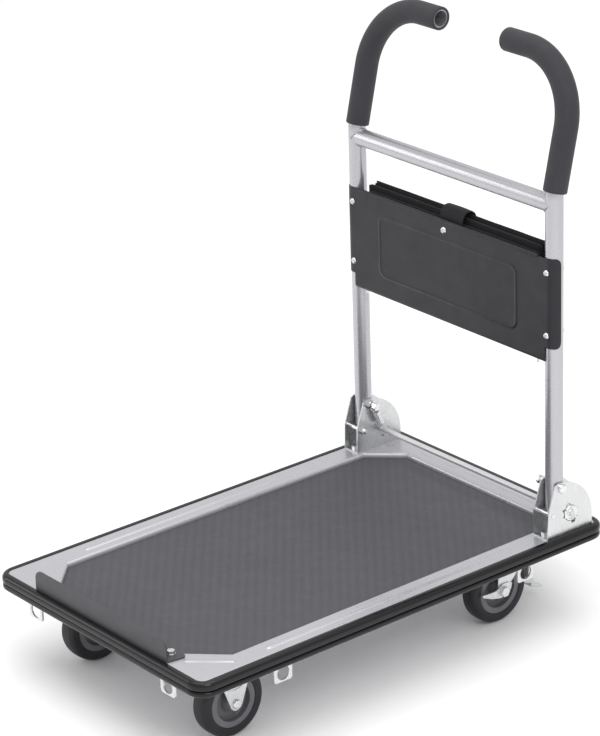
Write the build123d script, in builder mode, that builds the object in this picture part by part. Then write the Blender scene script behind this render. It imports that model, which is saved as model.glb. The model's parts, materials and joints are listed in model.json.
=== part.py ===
from build123d import *
import os
import math

os.makedirs("parts", exist_ok=True)

# ------------------------------------------------------------------
# Folding platform cart. Millimetres, +Z up, floor at z = 0.
# +Y runs from the stop-rail end to the push handle, +X to the right.
# ------------------------------------------------------------------

# deck
DECK_W = 438.0          # over the steel skirt
DECK_L = 702.0
DECK_R = 14.0           # plan corner radius of the steel
DECK_TOP = 135.0        # top of the raised border
SKIRT_BOT = 113.0
STEEL = 1.2
MAT_W = 359.0
MAT_Y0, MAT_Y1 = -313.0, 306.0
MAT_C = 43.7            # corner chamfer of the mat
MAT_TOP = 129.0
MAT_T = 2.4
TRAY_TOP = MAT_TOP - MAT_T
TRAY_BOT = TRAY_TOP - STEEL

# bumper
BUMP_TOP = 135.6
BUMP_BOT = 114.4
BUMP_D = 8.0

# handle
TUBE_OD = 25.0
TUBE_ID = 22.4
TUBE_X = 200.5
TUBE_Y = 281.0
PIVOT_Z = 206.0
FOOT_Z = 167.5
HORN_Z = 627.0
HORN_TOP = 803.7
HORN_Y = TUBE_Y + 41.8
HORN_R = 92.0
HORN_END_X = 67.5
BAR_OD = 25.0
BAR_Z = 613.6
GRIP_OD = 33.0

# hinge brackets
PL_T = 2.0
PL_GAP = 12.9           # tube axis to the inner face of a plate
ROD_Y = TUBE_Y + 16.9
ROD_Z = 164.2
ROD_D = 8.0
SLOT_DY, SLOT_DZ = 0.37, -0.929
STOP_Z = 169.0
STOP_Y = TUBE_Y - 15.7

# wheels
WHEEL_R = 50.0
WHEEL_W = 28.0
RIM_R = 35.5
FRONT_X, FRONT_Y = 146.0, -254.0
REAR_X, REAR_Y = 141.0, 222.0
KING_Y = 249.0
AXLE_Z = 50.0
PLATE_T = 2.5
DOUBLER_T = 2.0

# back panel
PANEL_T = 1.0
PANEL_Z0, PANEL_Z1 = 390.0, 540.0


def save(part, name):
    part.label = name
    export_step(part, "parts/" + name + ".step")


# ---------------------------------------------------------------- deck
OCT = [(-MAT_W / 2, MAT_Y0 + MAT_C), (-MAT_W / 2 + MAT_C, MAT_Y0), (MAT_W / 2 - MAT_C, MAT_Y0), (MAT_W / 2, MAT_Y0 + MAT_C),
       (MAT_W / 2, MAT_Y1 - MAT_C), (MAT_W / 2 - MAT_C, MAT_Y1), (-MAT_W / 2 + MAT_C, MAT_Y1), (-MAT_W / 2, MAT_Y1 - MAT_C)]

with BuildPart() as deck_pressing:
    with BuildSketch(Plane.XY.offset(SKIRT_BOT)):
        RectangleRounded(DECK_W, DECK_L, DECK_R)
    extrude(amount=DECK_TOP - SKIRT_BOT)
    chamfer(deck_pressing.faces().sort_by(Axis.Z)[-1].edges(), 4.0, 3.13)
    with BuildSketch(Plane.XY.offset(SKIRT_BOT)):
        RectangleRounded(DECK_W - 2 * STEEL, DECK_L - 2 * STEEL, DECK_R - STEEL)
    extrude(amount=DECK_TOP - STEEL - SKIRT_BOT, mode=Mode.SUBTRACT)
    # tray under the mat
    with BuildSketch(Plane.XY.offset(TRAY_BOT)):
        with BuildLine():
            Polyline(*OCT, close=True)
        make_face()
        offset(amount=STEEL + 0.4, kind=Kind.INTERSECTION)
    extrude(amount=DECK_TOP - 1.0 - TRAY_BOT)
    with BuildSketch(Plane.XY.offset(TRAY_TOP)):
        with BuildLine():
            Polyline(*OCT, close=True)
        make_face()
        offset(amount=0.4, kind=Kind.INTERSECTION)
    extrude(amount=20, mode=Mode.SUBTRACT)
    # pressed ribs along the sides and in the front corners
    with BuildSketch(Plane.XY.offset(DECK_TOP - 0.2)):
        with Locations((198.5, -14, 0), (-198.5, -14, 0)):
            SlotOverall(428, 8, rotation=90)
        with Locations((198.5, -303, 0), (-198.5, -303, 0)):
            SlotOverall(56, 8, rotation=90)
        with Locations((176.5, -302.5)):
            SlotOverall(66, 7, rotation=47)
        with Locations((-176.5, -302.5)):
            SlotOverall(66, 7, rotation=-47)
        with Locations((0, 328)):
            SlotOverall(250, 9)
    extrude(amount=1.5, taper=30)
    # bolt holes for the two brackets and the stop rail
    with Locations(*[Plane((sx * TUBE_X, TUBE_Y + dy, DECK_TOP)) for sx in (-1, 1) for dy in (-17, 42)],
                   *[Plane((sx * 130, -330, DECK_TOP)) for sx in (-1, 1)]):
        Hole(3.1, depth=6)
save(deck_pressing.part, "deck_pressing")

with BuildPart() as deck_stiffeners:
    # two hat-section channels welded lengthwise under the tray
    with BuildSketch(Plane.XZ.offset(196)):
        for cx in (-55, 55):
            with BuildLine():
                Polyline((cx - 32, TRAY_BOT), (cx - 32, TRAY_BOT - 1.5), (cx - 19, TRAY_BOT - 1.5), (cx - 15, TRAY_BOT - 16), (cx + 15, TRAY_BOT - 16),
                         (cx + 19, TRAY_BOT - 1.5), (cx + 32, TRAY_BOT - 1.5), (cx + 32, TRAY_BOT), (cx + 17.8, TRAY_BOT), (cx + 13.8, TRAY_BOT - 14.5),
                         (cx - 13.8, TRAY_BOT - 14.5), (cx - 17.8, TRAY_BOT), close=True)
            make_face()
    extrude(amount=-387)
    # doubler plates that carry the caster studs
    for yc in (FRONT_Y, KING_Y):
        with BuildSketch(Plane.XY.offset(TRAY_BOT - DOUBLER_T)):
            with Locations((0, yc)):
                RectangleRounded(384, 108, 8)
            for cx in ((FRONT_X if yc < 0 else REAR_X) * k for k in (-1, 1)):
                with Locations((cx, yc)):
                    with GridLocations(56, 76, 2, 2):
                        Circle(3.9, mode=Mode.SUBTRACT)
        extrude(amount=DOUBLER_T)
save(deck_stiffeners.part, "deck_stiffeners")

with BuildPart() as anti_slip_mat:
    with BuildSketch(Plane.XY.offset(TRAY_TOP)):
        with BuildLine():
            Polyline(*OCT, close=True)
        make_face()
    extrude(amount=MAT_T)
save(anti_slip_mat.part, "anti_slip_mat")



def bumper_ridge(z0, z1, d, r_top):
    with BuildPart() as ridge:
        with BuildSketch(Plane.XY.offset(z0)):
            RectangleRounded(DECK_W + 2 * d, DECK_L + 2 * d, DECK_R + d + 4)
        extrude(amount=z1 - z0)
        fillet(ridge.edges().group_by(Axis.Z)[-1], r_top)
        fillet(ridge.edges().group_by(Axis.Z)[0], 3.4)
    return ridge.part


upper_ridge = bumper_ridge(123.2, BUMP_TOP, BUMP_D, 6.4)
lower_ridge = bumper_ridge(BUMP_BOT, 122.4, BUMP_D - 0.4, 3.4)

with BuildPart() as edge_bumper:
    # two rounded ridges joined by a web, wrapped round the skirt
    add(upper_ridge)
    add(lower_ridge)
    with BuildSketch(Plane.XY.offset(120)):
        RectangleRounded(DECK_W + 9, DECK_L + 9, DECK_R + 8)
    extrude(amount=6)
    # the skirt below, and the lip that laps over the rounded edge of the steel above
    with BuildSketch(Plane.XY.offset(BUMP_BOT - 5)):
        RectangleRounded(DECK_W, DECK_L, DECK_R)
    extrude(amount=DECK_TOP - 4 - BUMP_BOT + 5, mode=Mode.SUBTRACT)
    with BuildSketch(Plane.XY.offset(DECK_TOP - 4)):
        RectangleRounded(DECK_W, DECK_L, DECK_R)
    extrude(amount=4.0, taper=38, mode=Mode.SUBTRACT)
    with BuildSketch(Plane.XY.offset(DECK_TOP - 1.5)):
        RectangleRounded(DECK_W - 4.8, DECK_L - 4.8, DECK_R - 2.4)
    extrude(amount=10, mode=Mode.SUBTRACT)
save(edge_bumper.part, "edge_bumper")

# -------------------------------------------------------------- stop rail
RAIL_Y = -348.0
with BuildPart() as stop_rail:
    with BuildSketch(Plane.XZ.offset(-RAIL_Y)):
        with BuildLine():
            Polyline((-144, DECK_TOP), (144, DECK_TOP), (144, DECK_TOP + 17))
            RadiusArc((144, DECK_TOP + 17), (131, DECK_TOP + 30), -13)
            Line((131, DECK_TOP + 30), (-131, DECK_TOP + 30))
            RadiusArc((-131, DECK_TOP + 30), (-144, DECK_TOP + 17), -13)
            Line((-144, DECK_TOP + 17), (-144, DECK_TOP))
        make_face()
    extrude(amount=-2)
    with BuildSketch(Plane.XY.offset(DECK_TOP)):
        with BuildLine():
            Polyline((-144, RAIL_Y), (144, RAIL_Y), (148, RAIL_Y + 26), (144, RAIL_Y + 30), (-144, RAIL_Y + 30), (-148, RAIL_Y + 26), close=True)
        make_face()
    extrude(amount=2)
    with Locations((-130, -330, DECK_TOP + 2), (130, -330, DECK_TOP + 2)):
        Hole(3.3)
save(stop_rail.part, "stop_rail")

with BuildPart() as stop_rail_screws:
    for sx in (-1, 1):
        with BuildSketch(Plane.XY.offset(DECK_TOP + 2)):
            with Locations((sx * 130, -330)):
                Circle(6.2)
        extrude(amount=1.2)
        with BuildSketch(Plane.XY.offset(DECK_TOP + 3.2)):
            with Locations((sx * 130, -330)):
                RegularPolygon(5.6, 6)
        extrude(amount=4.2)
        with BuildSketch(Plane.XY.offset(DECK_TOP - 12)):
            with Locations((sx * 130, -330)):
                Circle(3.0)
        extrude(amount=14.5)
save(stop_rail_screws.part, "stop_rail_screws")

with BuildPart() as stop_rail_nuts:
    for sx in (-1, 1):
        with BuildSketch(Plane.XY.offset(DECK_TOP - STEEL - 5.2)):
            with Locations((sx * 130, -330)):
                RegularPolygon(5.7, 6)
                Circle(3.0, mode=Mode.SUBTRACT)
        extrude(amount=5.2)
save(stop_rail_nuts.part, "stop_rail_nuts")

# -------------------------------------------------------------- lashing eyes
EYE_Z = 102.8
EYE_R = 10.0
with BuildPart() as lashing_eyes:
    x_in = DECK_W / 2 - STEEL
    y_in = DECK_L / 2 - STEEL
    for sx in (-1, 1):
        with BuildSketch(Plane.YZ.offset(sx * (x_in - 1.25) - 1.25)):
            with Locations((-217, EYE_Z + 4), (211, EYE_Z + 4)):
                RectangleRounded(30, 32, 4)
            with Locations((-217, EYE_Z), (211, EYE_Z)):
                Circle(EYE_R, mode=Mode.SUBTRACT)
        extrude(amount=2.5)
    for sy in (-1, 1):
        with BuildSketch(Plane.XZ.offset(-(sy * (y_in - 1.25)) - 1.25)):
            with Locations((-146, EYE_Z + 4), (146, EYE_Z + 4)):
                RectangleRounded(30, 32, 4)
            with Locations((-146, EYE_Z), (146, EYE_Z)):
                Circle(EYE_R, mode=Mode.SUBTRACT)
        extrude(amount=2.5)
save(lashing_eyes.part, "lashing_eyes")


# -------------------------------------------------------------- brackets
def plate_outline():
    Polyline((TUBE_Y - 26.5, DECK_TOP), (TUBE_Y - 25.2, 172.5), (TUBE_Y - 12.5, 211.5), (TUBE_Y - 5.3, 214.8))
    RadiusArc((TUBE_Y - 5.3, 214.8), (TUBE_Y + 57.7, 151.8), 63)
    Polyline((TUBE_Y + 57.7, 151.8), (TUBE_Y + 57.7, DECK_TOP), (TUBE_Y - 26.5, DECK_TOP))


def make_bracket(sx):
    with BuildPart() as br:
        for s in (-1, 1):
            face_x = sx * TUBE_X + s * PL_GAP + (0 if s > 0 else -PL_T)
            with BuildSketch(Plane.YZ.offset(face_x)):
                with BuildLine():
                    plate_outline()
                make_face()
                with Locations((TUBE_Y, PIVOT_Z)):
                    Circle(4.1, mode=Mode.SUBTRACT)
                with Locations((STOP_Y, STOP_Z)):
                    Circle(3.05, mode=Mode.SUBTRACT)
                # slanted slot in which the release rod rides
                ang = math.degrees(math.atan2(SLOT_DZ, SLOT_DY))
                with Locations((ROD_Y + SLOT_DY * 0.3, ROD_Z + SLOT_DZ * 0.3)):
                    SlotCenterToCenter(26.0, 8.9, rotation=ang, mode=Mode.SUBTRACT)
            extrude(amount=PL_T)
        # base of the U-section
        with BuildSketch(Plane.XY.offset(DECK_TOP)):
            with Locations((sx * TUBE_X, TUBE_Y + 15.6)):
                Rectangle(2 * PL_GAP + 1, 84.2)
            with Locations((sx * TUBE_X, TUBE_Y - 17), (sx * TUBE_X, TUBE_Y + 42)):
                Circle(3.2, mode=Mode.SUBTRACT)
        extrude(amount=PL_T)
    return br.part


bracket_left = make_bracket(-1)
save(bracket_left, "bracket_left")
bracket_right = make_bracket(1)
save(bracket_right, "bracket_right")

with BuildPart() as bracket_bolts:
    for sx in (-1, 1):
        for dy in (-17, 42):
            with BuildSketch(Plane.XY.offset(DECK_TOP + PL_T)):
                with Locations((sx * TUBE_X, TUBE_Y + dy)):
                    RegularPolygon(5.7, 6)
            extrude(amount=4.5)
            with BuildSketch(Plane.XY.offset(DECK_TOP - 10)):
                with Locations((sx * TUBE_X, TUBE_Y + dy)):
                    Circle(3.0)
            extrude(amount=12.5)
save(bracket_bolts.part, "bracket_bolts")

with BuildPart() as bracket_nuts:
    for sx in (-1, 1):
        for dy in (-17, 42):
            with BuildSketch(Plane.XY.offset(DECK_TOP - STEEL - 5.2)):
                with Locations((sx * TUBE_X, TUBE_Y + dy)):
                    RegularPolygon(5.7, 6)
                    Circle(3.0, mode=Mode.SUBTRACT)
            extrude(amount=5.2)
save(bracket_nuts.part, "bracket_nuts")

OUT = PL_GAP + PL_T
with BuildPart() as stop_pins:
    for sx in (-1, 1):
        with BuildSketch(Plane.YZ.offset(sx * TUBE_X - OUT - 3)):
            with Locations((STOP_Y, STOP_Z)):
                Circle(3.0)
        extrude(amount=2 * OUT + 3.6)
        # dome nut on the inboard side
        xi = sx * (TUBE_X - OUT)
        with BuildSketch(Plane.YZ.offset(xi if sx < 0 else xi - 4)):
            with Locations((STOP_Y, STOP_Z)):
                RegularPolygon(5.6, 6)
        extrude(amount=4)
        with BuildSketch(Plane.YZ.offset(xi + 4 if sx < 0 else xi - 8)):
            with Locations((STOP_Y, STOP_Z)):
                Circle(4.6)
        extrude(amount=4)
    fillet(stop_pins.edges().filter_by(GeomType.CIRCLE).filter_by(lambda e: abs(e.radius - 4.6) < 0.01 and abs(abs(e.center().X) - (TUBE_X - OUT - 8)) < 0.01), 3.0)
save(stop_pins.part, "stop_pins")

with BuildPart() as pivot_bolts:
    for sx in (-1, 1):
        xo = sx * (TUBE_X + OUT)
        xe = sx * (TUBE_X - OUT - 16)
        with BuildSketch(Plane.YZ.offset(min(xo, xe))):
            with Locations((TUBE_Y, PIVOT_Z)):
                Circle(4.0)
        extrude(amount=abs(xo - xe))
        with BuildSketch(Plane.YZ.offset(xo if sx > 0 else xo - 4)):
            with Locations((TUBE_Y, PIVOT_Z)):
                Circle(6.8)
        extrude(amount=4)
    fillet(pivot_bolts.edges().filter_by(GeomType.CIRCLE).filter_by(lambda e: abs(e.radius - 6.8) < 0.01 and abs(abs(e.center().X) - (TUBE_X + OUT + 4)) < 0.01), 2.6)
save(pivot_bolts.part, "pivot_bolts")

with BuildPart() as pivot_nuts:
    for sx in (-1, 1):
        for a, t, r in ((0, 6.0, 7.3), (10.5, 5.0, 6.2)):
            x0 = TUBE_X - OUT - a
            with BuildSketch(Plane.YZ.offset(x0 - t if sx > 0 else -x0)):
                with Locations((TUBE_Y, PIVOT_Z)):
                    RegularPolygon(r, 6)
                    Circle(4.0, mode=Mode.SUBTRACT)
            extrude(amount=t)
save(pivot_nuts.part, "pivot_nuts")

# -------------------------------------------------------------- release rod and springs
with BuildPart() as lock_rod:
    with BuildSketch(Plane.YZ.offset(-(TUBE_X + OUT + 4.5))):
        with Locations((ROD_Y, ROD_Z)):
            Circle(ROD_D / 2)
    extrude(amount=2 * (TUBE_X + OUT + 4.5))
    chamfer(lock_rod.edges().filter_by(GeomType.CIRCLE), 0.8)
save(lock_rod.part, "lock_rod")

with BuildPart() as rod_washers:
    for sx in (-1, 1):
        xo = TUBE_X + OUT + 0.5
        with BuildSketch(Plane.YZ.offset(xo if sx > 0 else -xo - 1.2)):
            with Locations((ROD_Y, ROD_Z)):
                Circle(10.8)
                Circle(ROD_D / 2, mode=Mode.SUBTRACT)
        extrude(amount=1.2)
        xn = xo + 1.2
        with BuildSketch(Plane.YZ.offset(xn if sx > 0 else -xn - 1.6)):
            with Locations((ROD_Y, ROD_Z)):
                Circle(6.0)
                Circle(ROD_D / 2, mode=Mode.SUBTRACT)
        extrude(amount=1.6)
save(rod_washers.part, "rod_washers")

SPR_X = TUBE_X - OUT - 8.25
spr_dy, spr_dz = ROD_Y - TUBE_Y, ROD_Z - PIVOT_Z
spr_len = math.hypot(spr_dy, spr_dz)
SPRING_OD = 11.0
with BuildPart() as lock_springs:
    for sx in (-1, 1):
        pl = Plane(origin=(sx * SPR_X, TUBE_Y, PIVOT_Z), x_dir=(1, 0, 0), z_dir=(0, spr_dy / spr_len, spr_dz / spr_len))
        # close-wound body between the two end loops
        with BuildSketch(pl.offset(11)):
            Circle(SPRING_OD / 2)
            Circle(SPRING_OD / 2 - 1.6, mode=Mode.SUBTRACT)
        extrude(amount=23)
        # end loops, round the bolt and round the rod
        for off, r in ((0, 4.15), (spr_len, 4.15)):
            with BuildSketch(Plane(origin=(sx * SPR_X - 0.8, TUBE_Y + spr_dy * off / spr_len, PIVOT_Z + spr_dz * off / spr_len), x_dir=(0, 1, 0), z_dir=(1, 0, 0))):
                Circle(r + 1.6)
                Circle(r, mode=Mode.SUBTRACT)
            extrude(amount=1.6)
        with BuildSketch(pl.offset(5)):
            Rectangle(1.6, 1.6)
        extrude(amount=7)
        with BuildSketch(pl.offset(32)):
            Rectangle(1.6, 1.6)
        extrude(amount=spr_len - 37.2)
        with BuildSketch(pl.offset(11)):
            Rectangle(1.6, SPRING_OD - 1)
        extrude(amount=1.6)
        with BuildSketch(pl.offset(32.4)):
            Rectangle(1.6, SPRING_OD - 1)
        extrude(amount=1.6)
save(lock_springs.part, "lock_springs")


# -------------------------------------------------------------- handle
def tube_path(sx, z_start):
    return FilletPolyline((sx * TUBE_X, TUBE_Y, z_start), (sx * TUBE_X, TUBE_Y, HORN_Z), (sx * TUBE_X, HORN_Y, HORN_TOP), (sx * HORN_END_X, HORN_Y, HORN_TOP), radius=[30, HORN_R])


def make_tube(sx):
    with BuildPart() as tb:
        with BuildLine() as ln:
            tube_path(sx, FOOT_Z)
        with BuildSketch(Plane.XY.offset(FOOT_Z)):
            with Locations((sx * TUBE_X, TUBE_Y)):
                Circle(TUBE_OD / 2)
                Circle(TUBE_ID / 2, mode=Mode.SUBTRACT)
        sweep(path=ln.wires()[0])
        # pivot hole and the two panel bolt holes
        with Locations(Plane(origin=(sx * TUBE_X + 20, TUBE_Y, PIVOT_Z), z_dir=(1, 0, 0))):
            Hole(4.05, depth=40)
        with Locations(Plane(origin=(sx * 198.5, TUBE_Y - 20, 519.4), z_dir=(0, -1, 0)), Plane(origin=(sx * 198.5, TUBE_Y - 20, 429.6), z_dir=(0, -1, 0))):
            Hole(2.6, depth=40)
    return tb.part


handle_tube_left = make_tube(-1)
save(handle_tube_left, "handle_tube_left")
handle_tube_right = make_tube(1)
save(handle_tube_right, "handle_tube_right")

with BuildPart() as crossbar:
    with BuildSketch(Plane.YZ.offset(-TUBE_X)):
        with Locations((TUBE_Y, BAR_Z)):
            Circle(BAR_OD / 2)
            Circle(BAR_OD / 2 - 1.3, mode=Mode.SUBTRACT)
    extrude(amount=2 * TUBE_X)
    with BuildSketch(Plane.XY.offset(BAR_Z - 40)):
        with Locations((-TUBE_X, TUBE_Y), (TUBE_X, TUBE_Y)):
            Circle(TUBE_OD / 2 + 0.08)
    extrude(amount=80, mode=Mode.SUBTRACT)
save(crossbar.part, "crossbar")

lean = math.atan2(HORN_Y - TUBE_Y, HORN_TOP - HORN_Z)
g0y, g0z = TUBE_Y + 4.2 * math.sin(lean), HORN_Z + 4.2 * math.cos(lean)


def make_grip(sx):
    with BuildPart() as gp:
        with BuildLine() as ln:
            FilletPolyline((sx * TUBE_X, g0y, g0z), (sx * TUBE_X, HORN_Y, HORN_TOP), (sx * (HORN_END_X - 1), HORN_Y, HORN_TOP), radius=HORN_R)
        with BuildSketch(Plane(origin=(sx * TUBE_X, g0y, g0z), x_dir=(1, 0, 0), z_dir=(0, math.sin(lean), math.cos(lean)))):
            Circle(GRIP_OD / 2)
            Circle(TUBE_OD / 2, mode=Mode.SUBTRACT)
        sweep(path=ln.wires()[0])
    return gp.part


grip_left = make_grip(-1)
save(grip_left, "grip_left")
grip_right = make_grip(1)
save(grip_right, "grip_right")

# -------------------------------------------------------------- back panel with its pocket floor
YF = TUBE_Y - TUBE_OD / 2            # front of the tubes
with BuildPart() as back_panel:
    with BuildSketch(Plane.XZ.offset(-YF)):
        with Locations((0, (PANEL_Z0 + PANEL_Z1) / 2)):
            Rectangle(2 * 196, PANEL_Z1 - PANEL_Z0)
        with Locations((0, 476.5)):
            Rectangle(2 * TUBE_X, 129)
    extrude(amount=PANEL_T)
    # flanges wrapped a quarter turn round the outside of each tube
    for sx in (-1, 1):
        with BuildSketch(Plane.XY.offset(412)):
            with BuildLine():
                CenterArc((sx * TUBE_X, TUBE_Y), TUBE_OD / 2, 270, 90 if sx > 0 else -90)
                Line((sx * (TUBE_X + TUBE_OD / 2), TUBE_Y), (sx * (TUBE_X + TUBE_OD / 2 + PANEL_T), TUBE_Y))
                CenterArc((sx * TUBE_X, TUBE_Y), TUBE_OD / 2 + PANEL_T, 270, 90 if sx > 0 else -90)
                Line((sx * TUBE_X, YF - PANEL_T), (sx * TUBE_X, YF))
            make_face()
        extrude(amount=129)
    # raised rounded field in the middle
    with BuildSketch(Plane.XZ.offset(-YF + PANEL_T - 0.2)):
        with Locations((0, 468)):
            RectangleRounded(281, 90, 10)
            RectangleRounded(273, 82, 7, mode=Mode.SUBTRACT)
    extrude(amount=1.2)
    # rolled top bead
    with BuildSketch(Plane.YZ.offset(-183)):
        with Locations((YF - PANEL_T + 2.2, PANEL_Z1)):
            Circle(2.2)
    extrude(amount=366)
    # pocket floor and its low back lip
    with BuildSketch(Plane.XY.offset(PANEL_Z0)):
        with Locations((0, YF + 15)):
            Rectangle(2 * 184, 30)
        with Locations((-177, 273.5), (177, 273.5)):
            Circle(1.95, mode=Mode.SUBTRACT)
    extrude(amount=PANEL_T)
    with BuildSketch(Plane.XZ.offset(-(YF + 30))):
        with Locations((0, PANEL_Z0 + 9)):
            Rectangle(2 * 184, 18)
    extrude(amount=PANEL_T)
    with Locations(*[Plane(origin=(x, YF - 5, z), z_dir=(0, -1, 0)) for x in (-198.5, 198.5) for z in (519.4, 429.6)], Plane(origin=(-5.7, YF - 5, 526.6), z_dir=(0, -1, 0))):
        Hole(2.6, depth=8)
save(back_panel.part, "back_panel")

with BuildPart() as panel_screws:
    for sx in (-1, 1):
        for z in (519.4, 429.6):
            with BuildSketch(Plane.XZ.offset(-(YF - PANEL_T))):
                with Locations((sx * 198.5, z)):
                    Circle(4.6)
            extrude(amount=2.4)
            with BuildSketch(Plane.XZ.offset(-(TUBE_Y + TUBE_OD / 2 + 6))):
                with Locations((sx * 198.5, z)):
                    Circle(2.5)
            extrude(amount=TUBE_OD + 6.5 + PANEL_T)
    fillet(panel_screws.edges().filter_by(GeomType.CIRCLE).filter_by(lambda e: abs(e.radius - 4.6) < 0.01).group_by(Axis.Y)[0], 1.6)
save(panel_screws.part, "panel_screws")

with BuildPart() as panel_nuts:
    for sx in (-1, 1):
        for z in (519.4, 429.6):
            with BuildSketch(Plane.XZ.offset(-(TUBE_Y + TUBE_OD / 2 + 4.2))):
                with Locations((sx * 198.5, z)):
                    RegularPolygon(4.6, 6)
                    Circle(2.5, mode=Mode.SUBTRACT)
            extrude(amount=4.2)
save(panel_nuts.part, "panel_nuts")

with BuildPart() as strap_screw:
    with BuildSketch(Plane.XZ.offset(-(YF - PANEL_T))):
        with Locations((-5.7, 526.6)):
            Circle(5.0)
    extrude(amount=2.6)
    fillet(strap_screw.edges().group_by(Axis.Y)[0], 1.6)
    with BuildSketch(Plane.XZ.offset(-(YF + 2.4))):
        with Locations((-5.7, 526.6)):
            Circle(2.5)
    extrude(amount=2.4 + PANEL_T + 0.2)
save(strap_screw.part, "strap_screw")

with BuildPart() as floor_screws:
    for sx in (-1, 1):
        with BuildSketch(Plane.XY.offset(PANEL_Z0 + PANEL_T)):
            with Locations((sx * 177, 273.5)):
                Circle(4.2)
        extrude(amount=1.8)
        with BuildSketch(Plane.XY.offset(PANEL_Z0 - 7)):
            with Locations((sx * 177, 273.5)):
                Circle(1.9)
        extrude(amount=8.2)
    chamfer(floor_screws.edges().group_by(Axis.Z)[0], 1.4)
save(floor_screws.part, "floor_screws")

# folded textile bag stowed in the pocket, and the webbing loop that holds it
with BuildPart() as carry_bag:
    with BuildSketch(Plane.YZ.offset(-180)):
        with BuildLine():
            Polyline((YF + 3, 393.5), (YF + 27, 393.5), (YF + 28, 520), (YF + 21, 551), (YF + 10.5, 551), (YF + 6.8, 542), (YF + 6.8, 534), (YF + 3, 524), close=True)
        make_face()
    extrude(amount=360)
    fillet(carry_bag.edges().filter_by(Axis.X).group_by(Axis.Z)[-1], 4)
save(carry_bag.part, "carry_bag")

with BuildPart() as bag_strap:
    with BuildSketch(Plane.YZ.offset(-18)):
        with BuildLine():
            Polyline((YF + 0.2, 505), (YF + 0.2, 531), (YF + 4.0, 537), (YF + 4.0, 547), (YF + 6.5, 555.0), (YF + 12, 558.5), (YF + 22, 556), (YF + 31.5, 541), (YF + 31.8, 470),
                     (YF + 30.2, 470), (YF + 29.9, 540.3), (YF + 20.8, 554.4), (YF + 12, 556.6), (YF + 8.1, 553.8), (YF + 5.6, 546.6), (YF + 5.6, 536.2), (YF + 1.8, 530.4), (YF + 1.8, 505), close=True)
        make_face()
    extrude(amount=46)
    with Locations(Plane(origin=(-5.7, YF - 5, 526.6), z_dir=(0, -1, 0))):
        Hole(2.6, depth=8)
save(bag_strap.part, "bag_strap")

# -------------------------------------------------------------- front casters, fixed
LEG_IN = WHEEL_W / 2 + 2.2
LEG_T = 2.5
CPL_TOP = TRAY_BOT - DOUBLER_T


def make_front_fork(sx):
    with BuildPart() as fk_:
        with BuildSketch(Plane.XY.offset(CPL_TOP - PLATE_T)):
            with Locations((sx * FRONT_X, FRONT_Y)):
                RectangleRounded(80, 100, 8)
                with GridLocations(56, 76, 2, 2):
                    SlotCenterToCenter(4, 8.6, mode=Mode.SUBTRACT)
        extrude(amount=PLATE_T)
        for s in (-1, 1):
            x0 = sx * FRONT_X + (LEG_IN if s > 0 else -LEG_IN - LEG_T)
            with BuildSketch(Plane.YZ.offset(x0)):
                with BuildLine():
                    Polyline((FRONT_Y - 36, CPL_TOP - PLATE_T + 0.5), (FRONT_Y - 9.2, 46.5), (FRONT_Y + 9.2, 46.5), (FRONT_Y + 36, CPL_TOP - PLATE_T + 0.5), close=True)
                make_face()
                with Locations((FRONT_Y, AXLE_Z)):
                    Circle(9.4)
                    Circle(4.05, mode=Mode.SUBTRACT)
            extrude(amount=LEG_T)
            with BuildSketch(Plane.YZ.offset(x0 + (LEG_T - 0.7 if s > 0 else 0))):
                with BuildLine():
                    CenterArc((FRONT_Y - 2, 97), 25, 215, 85)
                trace(line_width=2.4)
            extrude(amount=0.7, mode=Mode.SUBTRACT)
    return fk_.part


front_fork_left = make_front_fork(-1)
save(front_fork_left, "front_fork_left")
front_fork_right = make_front_fork(1)
save(front_fork_right, "front_fork_right")

SLV = 6.0    # axle sleeve radius
HUB_HALF = LEG_IN - 0.3



with BuildPart() as front_axle_bolts:
    for sx in (-1, 1):
        x0 = sx * FRONT_X
        a = LEG_IN + LEG_T
        lo, hi = (x0 - a - 8, x0 + a) if sx > 0 else (x0 - a, x0 + a + 8)
        with BuildSketch(Plane.YZ.offset(lo)):
            with Locations((FRONT_Y, AXLE_Z)):
                Circle(4.0)
        extrude(amount=hi - lo)
        with BuildSketch(Plane.YZ.offset(hi if sx > 0 else lo - 3.4)):
            with Locations((FRONT_Y, AXLE_Z)):
                Circle(6.6)
        extrude(amount=3.4)
    fillet(front_axle_bolts.edges().filter_by(GeomType.CIRCLE).filter_by(lambda e: abs(e.radius - 6.6) < 0.01 and abs(e.center().X) > FRONT_X + LEG_IN + LEG_T + 3), 2.0)
save(front_axle_bolts.part, "front_axle_bolts")

with BuildPart() as front_axle_nuts:
    for sx in (-1, 1):
        xi = sx * FRONT_X - sx * (LEG_IN + LEG_T)
        with BuildSketch(Plane.YZ.offset(xi - 6.5 if sx > 0 else xi)):
            with Locations((FRONT_Y, AXLE_Z)):
                RegularPolygon(7.3, 6)
                Circle(4.0, mode=Mode.SUBTRACT)
        extrude(amount=6.5)
save(front_axle_nuts.part, "front_axle_nuts")

with BuildPart() as front_axle_sleeves:
    for sx in (-1, 1):
        with BuildSketch(Plane.YZ.offset(sx * FRONT_X - LEG_IN)):
            with Locations((FRONT_Y, AXLE_Z)):
                Circle(SLV)
                Circle(4.0, mode=Mode.SUBTRACT)
        extrude(amount=2 * LEG_IN)
save(front_axle_sleeves.part, "front_axle_sleeves")


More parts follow.
